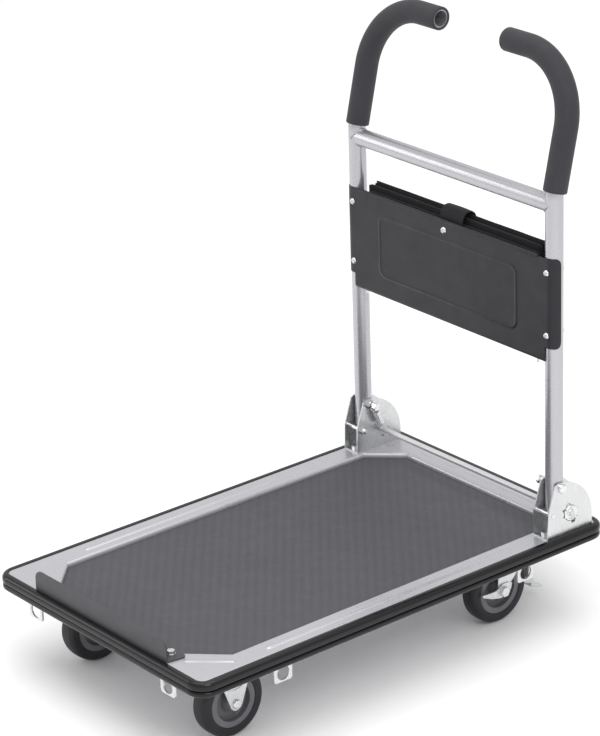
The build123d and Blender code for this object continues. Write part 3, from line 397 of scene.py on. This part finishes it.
# ------------------------------------------------------------------ back panel
def panel():
    parts = []
    def rr(x, z):
        # distance to the embossed rounded rectangle's outline
        cx, cz, hx, hz, r = 0.0, 468.0, 140.0, 45.0, 12.0
        dx, dz = abs(x - cx) - (hx - r), abs(z - cz) - (hz - r)
        return math.hypot(max(dx, 0), max(dz, 0)) + min(max(dx, dz), 0) - r
    def relief(x, z):
        d = rr(x, z)
        y = 0.0
        if abs(d) < 3.2:
            y += 0.9 * 0.5 * (1 + math.cos(math.pi * d / 3.2))
        y += 0.35 * (1 if d < -3.2 else max(0.0, (3.2 - d) / 6.4) if d < 3.2 else 0)
        return y
    xs = sorted(set([round(-196 + 2 * i, 3) for i in range(197)] + [s * (140 + t) for s in (-1, 1) for t in (-3.2, -2, -1, -.5, 0, .5, 1, 2, 3.2)]))
    zs = sorted(set([394 + 2 * i for i in range(74)] + [468 + s * (45 + t) for s in (-1, 1) for t in (-3.2, -2, -1, -.5, 0, .5, 1, 2, 3.2)]))
    zs = [z for z in zs if z <= 540.0]
    # lower edge curls backwards into the pocket floor, which ends in a low upright lip
    curl = [(YF + 29 + 0.0, 408.0), (YF + 29, 396.0), (YF + 28.2, 392.6), (YF + 26, 390.9), (YF + 23, 390.5), (YF + 4, 390.5), (YF + 1.6, 391.0), (YF + 0.0, 392.4)]
    rows = []
    for y, z in curl:
        rows.append([(max(-184, min(184, x)) if y > YF + 2 else x, y, z) for x in xs])
    for z in zs:
        rows.append([(x, YF - 0.5 - relief(x, z), z) for x in xs])
    V = [p for r in rows for p in r]
    n = len(xs)
    F = [(i * n + j, i * n + j + 1, (i + 1) * n + j + 1, (i + 1) * n + j) for i in range(len(rows) - 1) for j in range(n - 1)]
    parts.append((V, F))
    # flanges wrapped a quarter turn round each tube
    for s in (-1, 1):
        cols = [0, 1.5, 3.0, 4.5] + [4.5 + 21.2 * k / 22 for k in range(1, 23)]
        V, F = [], []
        NZ = 70
        for u in cols:
            e = 25.7 - u
            cut = 9.0 - math.sqrt(max(0.0, 81.0 - (9.0 - e) ** 2)) if e < 9 else 0.0
            z0, z1 = 412 + cut, 541 - cut
            if u <= 4.5:
                x, y = 196 + u, YF - 0.5
            else:
                a = (u - 4.5) / 13.5
                x, y = TX + 13.0 * math.sin(a), TY - 13.0 * math.cos(a)
            for k in range(NZ + 1):
                V.append((s * x, y, z0 + (z1 - z0) * k / NZ))
        for i in range(len(cols) - 1):
            for k in range(NZ):
                F.append((i * (NZ + 1) + k, (i + 1) * (NZ + 1) + k, (i + 1) * (NZ + 1) + k + 1, i * (NZ + 1) + k + 1))
        parts.append((V, F))
    V, F = join(parts)
    ob = make("panel_shell", V, F, "dark", smooth=40, solid=1.0)
    return ob

p_shell = panel()
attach(p_shell, "handle")
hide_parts("back_panel")
# rolled bead along the top edge
path = [(-183 + 366 * i / 60, YF - 0.7, 540.4) for i in range(61)]
bead = make("panel_top_bead", *sweep(path, circle(2.3, 20), scale=lambda i, n: 0.82 if i in (0, n - 1) else 1.0), "dark", smooth=50)
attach(bead, "handle")

# ------------------------------------------------------------------ pressed deck with its ribs and rolled lip
def deck_skin():
    hx, y0, y1, ch = 179.5, -313.0, 306.0, 43.7
    def octagon(d):
        # the pocket outline moved outwards by d, as 8 corners going round from the front right
        t = math.tan(math.radians(22.5)) * d
        a, b0, b1 = hx + d, y0 - d, y1 + d
        return [(hx - ch + t, b0), (a, y0 + ch - t), (a, y1 - ch + t), (hx - ch + t, b1), (-(hx - ch + t), b1), (-a, y1 - ch + t), (-a, y0 + ch - t), (-(hx - ch + t), b0)]
    W, L, R = 219.0, 351.0, 14.0
    def corner(cx, cy, e, a0):
        # points round one outer corner, from the straight before it to the straight after it
        r = R - e
        return [(cx + r * math.cos(a0 + math.pi / 2 * k / 14), cy + r * math.sin(a0 + math.pi / 2 * k / 14)) for k in range(15)]
    def outer(e):
        w, l = W - e, L - e
        ys0, ys1, xs = y0 + ch, y1 - ch, hx - ch
        segs = []
        segs.append([(xs, -l)] + corner(W - R, -L + R, e, -math.pi / 2) + [(w, ys0)])
        segs.append([(w, ys0), (w, ys1)])
        segs.append([(w, ys1)] + corner(W - R, L - R, e, 0.0) + [(xs, l)])
        segs.append([(xs, l), (-xs, l)])
        segs.append([(-xs, l)] + corner(-W + R, L - R, e, math.pi / 2) + [(-w, ys1)])
        segs.append([(-w, ys1), (-w, ys0)])
        segs.append([(-w, ys0)] + corner(-W + R, -L + R, e, math.pi) + [(-xs, -l)])
        segs.append([(-xs, -l), (xs, -l)])
        return segs
    counts = [90, 264, 90, 136, 90, 264, 90, 136]
    def sample(seg, n):
        ln = [0.0]
        for k in range(1, len(seg)):
            ln.append(ln[-1] + math.dist(seg[k - 1], seg[k]))
        out, q = [], 0
        for k in range(n):
            t = ln[-1] * k / n
            while q < len(ln) - 2 and ln[q + 1] < t:
                q += 1
            f = (t - ln[q]) / max(1e-9, ln[q + 1] - ln[q])
            out.append((seg[q][0] + (seg[q + 1][0] - seg[q][0]) * f, seg[q][1] + (seg[q + 1][1] - seg[q][1]) * f))
        return out
    def loop_in(d):
        o = octagon(d)
        return sum((sample([o[k], o[(k + 1) % 8]], counts[k]) for k in range(8)), [])
    def loop_out(e):
        return sum((sample(seg, n) for seg, n in zip(outer(e), counts)), [])
    ribs = []
    for sx in (-1, 1):
        ribs.append(((sx * 198.5, -224), (sx * 198.5, 196), 5.8, 1.6))
        ribs.append(((sx * 156, -325), (sx * 196, -282), 4.8, 1.1))
    ribs.append(((-121, 328), (121, 328), 6.4, 2.1))
    def rib(x, y):
        h = 0.0
        for a, b, hw, hh in ribs:
            ax, ay = a
            bx, by = b
            t = ((x - ax) * (bx - ax) + (y - ay) * (by - ay)) / ((bx - ax) ** 2 + (by - ay) ** 2)
            t = max(0.0, min(1.0, t))
            d = math.hypot(x - ax - t * (bx - ax), y - ay - t * (by - ay))
            if d < hw:
                h = max(h, hh * 0.5 * (1 + math.cos(math.pi * max(0.0, (d - hw * 0.25)) / (hw * 0.75))))
        return h
    Z = 134.4
    loops = []
    for d, z in ((-30, 126.0), (-2.0, 126.0), (0.3, 126.02), (0.8, 126.25), (1.0, 126.8), (1.02, 129.5), (1.15, 131.6), (1.6, 133.0), (2.5, 133.95), (3.8, 134.32), (5.2, Z)):
        loops.append([(x, y, z) for x, y in loop_in(d)])
    a, b = loop_in(5.2), loop_out(5.2)
    MID = 26
    for k in range(1, MID):
        t = k / MID
        row = []
        for (ax, ay), (bx, by) in zip(a, b):
            x, y = ax + (bx - ax) * t, ay + (by - ay) * t
            row.append((x, y, Z + rib(x, y)))
        loops.append(row)
    for e, z in ((5.2, Z), (4.2, 134.3), (3.0, 133.9), (1.9, 132.9), (1.1, 131.4), (0.7, 129.6), (0.62, 127.0), (0.62, 120.0), (0.62, 113.0)):
        loops.append([(x, y, z) for x, y in loop_out(e)])
    n = len(loops[0])
    V = [p for row in loops for p in row]
    F = [(i * n + j, i * n + (j + 1) % n, (i + 1) * n + (j + 1) % n, (i + 1) * n + j) for i in range(len(loops) - 1) for j in range(n)]
    F.append(tuple(range(n)))
    return make("deck_skin", V, F, "steel", smooth=50, solid=1.2)

ds = deck_skin()
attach(ds, "deck")
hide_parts("deck_pressing")

# ------------------------------------------------------------------ tyres with moulding line and shoulder grooves
def tyre(cx, cy, name, body, node):
    prof = [(12.4, 35.6), (13.6, 36.6), (14.0, 38.2), (14.0, 41.0), (13.75, 41.3), (13.75, 41.9), (14.0, 42.2), (13.9, 43.6), (13.3, 45.6), (12.2, 47.4), (10.6, 48.7), (8.8, 49.35), (8.5, 49.1), (8.1, 49.1), (7.8, 49.55),
            (5.0, 49.85), (2.0, 49.97), (0.35, 50.0)]
    half = prof[:]
    full = half + [(-x, r) for x, r in reversed(half)]
    NA = 128
    V, F = [], []
    for i in range(NA):
        a = 2 * math.pi * i / NA
        for x, r in full:
            V.append((cx + x, cy + r * math.cos(a), 50.0 + r * math.sin(a)))
    m = len(full)
    for i in range(NA):
        k = (i + 1) % NA
        for q in range(m):
            F.append((i * m + q, i * m + (q + 1) % m, k * m + (q + 1) % m, k * m + q))
    ob = make(name, V, F, "tyre", smooth=32)
    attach(ob, body)
    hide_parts(node)

for s_, side in ((-1, "left"), (1, "right")):
    tyre(s_ * 146.0, -254.0, "front_tread_" + side, "front_wheel_" + side, "front_tyre_" + side)
    tyre(s_ * 141.0, 222.0, "rear_tread_" + side, "rear_wheel_" + side, "rear_tyre_" + side)

# ------------------------------------------------------------------ screws with cross recess
def screw_head(c, axis, r, h, rot=0.0):
    """Pan head with a cross recess; axis points out of the head."""
    ax = Vector(axis).normalized()
    u = ax.orthogonal().normalized()
    w = ax.cross(u)
    NR, NA = 22, 72
    V, F = [], []
    for i in range(NR + 1):
        t = i / NR
        rad = r * math.sin(t * math.pi / 2) ** 0.8 if t < 1 else r
        for j in range(NA):
            a = 2 * math.pi * j / NA
            z = h * (1 - (rad / r) ** 3.2)
            px, py = rad * math.cos(a + rot), rad * math.sin(a + rot)
            arm = r * 0.56
            if (abs(px) < r * 0.13 and abs(py) < arm) or (abs(py) < r * 0.13 and abs(px) < arm):
                z -= h * 0.62 * (1 - 0.7 * math.hypot(px, py) / arm)
            V.append(tuple(Vector(c) + u * px + w * py + ax * z))
    for i in range(NR):
        for j in range(NA):
            k = (j + 1) % NA
            F.append((i * NA + j, i * NA + k, (i + 1) * NA + k, (i + 1) * NA + j))
    base = len(V)
    for j in range(NA):
        V.append(tuple(Vector(V[NR * NA + j]) - ax * 0.3))
    for j in range(NA):
        k = (j + 1) % NA
        F.append((NR * NA + j, NR * NA + k, base + k, base + j))
    return V, F

def threaded(c, axis, r, length, pitch=0.8):
    """Shank with rounded thread ridges from c along axis."""
    ax = Vector(axis).normalized()
    u = ax.orthogonal().normalized()
    w = ax.cross(u)
    n = int(length / (pitch / 4))
    NA = 20
    V, F = [], []
    for i in range(n + 1):
        rr_ = r - 0.16 * pitch * (1 + math.cos(2 * math.pi * i / 4))
        if i > n - 4:
            rr_ -= 0.12 * (i - n + 4)
        for j in range(NA):
            a = 2 * math.pi * j / NA
            V.append(tuple(Vector(c) + ax * (length * i / n) + u * rr_ * math.cos(a) + w * rr_ * math.sin(a)))
    for i in range(n):
        for j in range(NA):
            k = (j + 1) % NA
            F.append((i * NA + j, i * NA + k, (i + 1) * NA + k, (i + 1) * NA + j))
    F.append(tuple(n * NA + j for j in range(NA)))
    return V, F

parts = []
for s in (-1, 1):
    for q, z in enumerate((519.4, 429.6)):
        parts.append(screw_head((s * 198.5, YF - 1.0, z), (0, -1, 0), 4.6, 2.4, 0.4 + 0.7 * q + s))
        parts.append(threaded((s * 198.5, YF - 1.0, z), (0, 1, 0), 2.5, 32.4))
scr = make("panel_bolts", *join(parts), "bolt", smooth=35)
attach(scr, "handle")
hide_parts("panel_screws")
scr2 = make("strap_bolt", *join([screw_head((-5.7, YF - 1.0, 526.6), (0, -1, 0), 5.0, 2.6, 0.3), threaded((-5.7, YF - 1.0, 526.6), (0, 1, 0), 2.5, 3.4)]), "bolt", smooth=35)
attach(scr2, "handle")
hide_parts("strap_screw")

# ------------------------------------------------------------------ coil springs
spr = []
a0, a1 = Vector((0, TY, 206.0)), Vector((0, TY + 16.9, 164.2))
d = (a1 - a0).normalized()
for s in (-1, 1):
    x = s * 177.35
    c0 = Vector((x, a0.y, a0.z))
    u = Vector((1, 0, 0))
    w = d.cross(u)
    L = (a1 - a0).length
    pts = []
    for k in range(15):
        a = math.radians(-60 + 300 * k / 14)
        pts.append(c0 + (d * -math.cos(a) + w * math.sin(a)) * 5.0)
    pts.append(c0 + d * 8.0 + w * -2.2)
    turns, r = 13, 4.7
    N = turns * 20
    for k in range(N + 1):
        a = 2 * math.pi * k / 20 + math.pi
        pts.append(c0 + d * (11 + 22.0 * k / N) + u * r * math.sin(a) * s + w * r * math.cos(a))
    c1 = Vector((x, a1.y, a1.z))
    pts.append(c1 - d * 8.0 + w * -2.2)
    for k in range(15):
        a = math.radians(-60 + 300 * k / 14)
        pts.append(c1 + (d * math.cos(a) - w * math.sin(a)) * 5.0)
    spr.append(sweep(pts, circle(0.85, 8)))
sp = make("coil_springs", *join(spr), "spring", smooth=60)
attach(sp, "deck")
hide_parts("lock_springs")

# ------------------------------------------------------------------ weld beads on the crossbar
weld = []
for s in (-1, 1):
    pts = []
    for k in range(72):
        a = 2 * math.pi * k / 72
        rr_ = 12.6
        pts.append((s * (TX - math.sqrt(max(0.0, 12.6 ** 2 - (rr_ * math.cos(a)) ** 2)) - 0.4), TY + rr_ * math.cos(a), 613.6 + rr_ * math.sin(a)))
    weld.append(sweep(pts, circle(1.25, 10), closed_path=True, scale=lambda i, n: 1.0 + 0.10 * math.sin(i * 2.1) + 0.08 * math.sin(i * 0.37)))
wb = make("crossbar_welds", *join(weld), "tube", smooth=70)
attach(wb, "handle")

# ------------------------------------------------------------------ foam grips
lean = math.atan2(41.8, 803.7 - 627.0)
for s, side in ((-1, "left"), (1, "right")):
    g0 = (s * TX, TY + 4.2 * math.sin(lean), 627.0 + 4.2 * math.cos(lean))
    path = fillet_path([g0, (s * TX, TY + 41.8, 803.7), (s * 66.5, TY + 41.8, 803.7)], [92.0], 3.5)
    # refine the ends so that the rim can be rounded
    P = [Vector(p) for p in path]
    head = [P[0] + (P[1] - P[0]).normalized() * t for t in (0, 0.4, 1.0, 1.8)]
    tail = [P[-1] + (P[-2] - P[-1]).normalized() * t for t in (1.8, 1.0, 0.4, 0)]
    P = head + P[1:-1] + tail
    n = len(P)
    prof_scale = {0: 0.93, 1: 0.965, 2: 0.988, 3: 1.0, n - 4: 1.0, n - 3: 0.988, n - 2: 0.965, n - 1: 0.93}
    outer = sweep(P, circle(16.5, 48), caps=False, scale=lambda i, m: prof_scale.get(i, 1.0 + 0.0035 * noise.noise(Vector((i * 0.31, s, 0)))))
    inner = sweep(P, circle(12.55, 48), caps=False)
    V, F = join([outer, inner])
    no = 48 * n
    for base in (0, (n - 1) * 48):
        for q in range(48):
            r = (q + 1) % 48
            F.append((base + q, base + r, no + base + r, no + base + q))
    g = make("foam_grip_" + side, V, F, "grip", smooth=50)
    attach(g, "handle")
    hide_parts("grip_" + side)

# ------------------------------------------------------------------ folded carry bag and strap
def bag_layer(x0, x1, y0, y1, z0, z1, seed, tilt=0.0):
    """One fold of cloth: a flat sleeve with a soft rounded top, uneven like packed fabric."""
    NX, NP = 120, 44
    V, F = [], []
    h = (y1 - y0) / 2
    yc = (y0 + y1) / 2
    for i in range(NX + 1):
        t = i / NX
        x = x0 + (x1 - x0) * t
        end = min(t, 1 - t) * (x1 - x0)
        k = 1.0 if end > 7 else math.sqrt(max(0.0, 1 - (1 - end / 7) ** 2)) * 0.85 + 0.15
        top = z1 + tilt * (t - 0.5) + 0.3 * noise.noise(Vector((x * 0.022, seed, 0))) + 0.2 * noise.noise(Vector((x * 0.09, seed + 3, 0)))
        if end < 7:
            top -= 2.5 * (1 - end / 7)
        for j in range(NP):
            a = 2 * math.pi * j / NP
            ca, sa = math.cos(a), math.sin(a)
            # superellipse cross-section, nearly flat sides and soft top
            yy = yc + h * k * math.copysign(abs(ca) ** 0.55, ca)
            zz = (z0 + top) / 2 + (top - z0) / 2 * math.copysign(abs(sa) ** 0.22, sa)
            wob = 0.9 * noise.noise(Vector((x * 0.018, zz * 0.03, seed))) + 0.35 * noise.noise(Vector((x * 0.07, zz * 0.09, seed + 9)))
            V.append((x, yy + wob * (1 if ca > 0 else 0.5), zz))
    for i in range(NX):
        for j in range(NP):
            k = (j + 1) % NP
            F.append((i * NP + j, i * NP + k, (i + 1) * NP + k, (i + 1) * NP + j))
    F.append(tuple(range(NP - 1, -1, -1)))
    F.append(tuple(NX * NP + j for j in range(NP)))
    return V, F

layers = [bag_layer(-176, 179, YF + 19.5, YF + 27.6, 392.5, 549.5, 1.0, 1.0),
          bag_layer(-180, 176, YF + 11.8, YF + 19.3, 393.0, 548.0, 5.0, 1.0),
          bag_layer(-173, 180, YF + 5.4, YF + 11.6, 393.5, 541.0, 8.0, 0.0)]
bag = make("folded_bag", *join(layers), "bag", smooth=80)
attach(bag, "handle")
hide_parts("carry_bag")
# piping sewn along the top fold of the rear layer
path = []
for i in range(121):
    x = -172 + 347 * i / 120
    t = (x + 176) / 355
    path.append((x, YF + 23.6, 550.2 + 1.0 * (t - 0.5) + 0.3 * noise.noise(Vector((x * 0.022, 1.0, 0)))))
piping = make("bag_piping", *sweep(path, circle(1.5, 10)), "strap", smooth=80)
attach(piping, "handle")

sp_path = [(YF + 1.0, 508), (YF + 1.0, 520), (YF + 1.3, 530), (YF + 4.6, 536.5), (YF + 4.9, 544), (YF + 6.6, 551), (YF + 11, 556.0), (YF + 17, 557.6), (YF + 23, 556.6), (YF + 28.2, 551.5), (YF + 30.4, 544), (YF + 30.9, 530), (YF + 30.9, 500), (YF + 30.6, 472)]
dense = []
P = [Vector((0, y, z)) for y, z in sp_path]
for i in range(len(P) - 1):
    p0, p1, p2, p3 = P[max(i - 1, 0)], P[i], P[i + 1], P[min(i + 2, len(P) - 1)]
    for k in range(8):
        t = k / 8
        dense.append(0.5 * ((2 * p1) + (p2 - p0) * t + (2 * p0 - 5 * p1 + 4 * p2 - p3) * t * t + (3 * p1 - p0 - 3 * p2 + p3) * t ** 3))
dense.append(P[-1])
V, F = [], []
NXS = 16
for i, p in enumerate(dense):
    for j in range(NXS + 1):
        q = j / NXS
        x = -18 + 46 * q + (p.z - 545) * 0.02
        V.append((x, p.y + 0.25 * math.sin(q * math.pi), p.z + 0.5 * math.sin(q * math.pi)))
for i in range(len(dense) - 1):
    for j in range(NXS):
        F.append((i * (NXS + 1) + j, i * (NXS + 1) + j + 1, (i + 1) * (NXS + 1) + j + 1, (i + 1) * (NXS + 1) + j))
strap = make("webbing_strap", V, F, "strap", smooth=60, solid=1.4)
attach(strap, "handle")
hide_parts("bag_strap")

# ------------------------------------------------------------------ star washers on the ends of the release rod
RY, RZ = TY + 16.9, 164.2
parts = []
for s in (-1, 1):
    x0 = s * 215.9
    NA, V, F = 120, [], []
    rings = [(4.1, 1.6), (4.8, 1.5), (5.4, 0.6), (6.2, 0.3), (7.4, 0.5), (8.4, 1.2), (9.4, 1.5), (10.4, 1.3), (11.0, 0.7), (11.3, 0.1)]
    for r0, hgt in rings:
        for j in range(NA):
            a = 2 * math.pi * j / NA
            tab = max(0.0, math.cos(2 * a + 0.9)) ** 14 + 0.6 * max(0.0, math.cos(2 * a - 0.7)) ** 20
            r = r0 + (3.2 * tab if r0 > 11.0 else 0)
            V.append((x0 + s * (hgt + 1.2 * tab * (r0 > 10.5)), RY + r * math.cos(a), RZ + r * math.sin(a)))
    for i in range(len(rings) - 1):
        for j in range(NA):
            k = (j + 1) % NA
            F.append((i * NA + j, i * NA + k, (i + 1) * NA + k, (i + 1) * NA + j))
    parts.append((V, F))
wsh = make("rod_star_washers", *join(parts), "bolt", smooth=35, solid=0.7)
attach(wsh, "release_rod")
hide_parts("rod_washers")

# ------------------------------------------------------------------ stage, light, camera
me = bpy.data.meshes.new("studio_floor")
me.from_pydata([(-8, -8, -0.0005), (8, -8, -0.0005), (8, 8, -0.0005), (-8, 8, -0.0005)], [], [(0, 1, 2, 3)])
floor = bpy.data.objects.new("studio_floor", me)
bpy.context.scene.collection.objects.link(floor)
fm, nt, b = new_mat("studio_floor")
b.inputs["Base Color"].default_value = (0.96, 0.96, 0.96, 1)
b.inputs["Roughness"].default_value = 0.9
me.materials.append(fm)

world = bpy.data.worlds.new("studio")
bpy.context.scene.world = world
world.use_nodes = True
world.node_tree.nodes["Background"].inputs["Color"].default_value = (1, 1, 1, 1)
world.node_tree.nodes["Background"].inputs["Strength"].default_value = 0.80

def area(name, loc, target, size, power):
    l = bpy.data.lights.new(name, "AREA")
    l.shape = "RECTANGLE"
    l.size, l.size_y = size
    l.energy = power
    o = bpy.data.objects.new(name, l)
    bpy.context.scene.collection.objects.link(o)
    o.location = loc
    o.rotation_euler = (Vector(target) - Vector(loc)).to_track_quat("-Z", "Y").to_euler()
    return o

area("key", (2.2, -0.6, 2.4), (0, 0, 0.3), (1.2, 1.2), 20)
area("overhead", (0.0, 0.0, 4.0), (0, 0, 0.0), (4.5, 4.5), 95)
area("side", (-2.2, -1.6, 1.4), (0, 0, 0.4), (0.5, 1.8), 8)

cam_d = bpy.data.cameras.new("camera")
cam = bpy.data.objects.new("camera", cam_d)
bpy.context.scene.collection.objects.link(cam)
az, el, roll = math.radians(51.12), math.radians(22.6), math.radians(-1.83)
back = Vector((math.sin(az) * math.cos(el), -math.cos(az) * math.cos(el), math.sin(el)))
right = Vector((0, 0, 1)).cross(back).normalized()
up = back.cross(right)
c, s_ = math.cos(roll), math.sin(roll)
r2 = right * c + up * s_
u2 = up * c - right * s_
pos = Vector((6.79, -3.0, 403.17)) * MM + back * 4.3395
cam.matrix_world = Matrix(((r2.x, u2.x, back.x, pos.x), (r2.y, u2.y, back.y, pos.y), (r2.z, u2.z, back.z, pos.z), (0, 0, 0, 1)))
cam_d.sensor_width = 36.0
cam_d.lens = 158.64
cam_d.clip_start, cam_d.clip_end = 0.1, 50
bpy.context.scene.camera = cam
bpy.context.scene.view_settings.view_transform = "Standard"
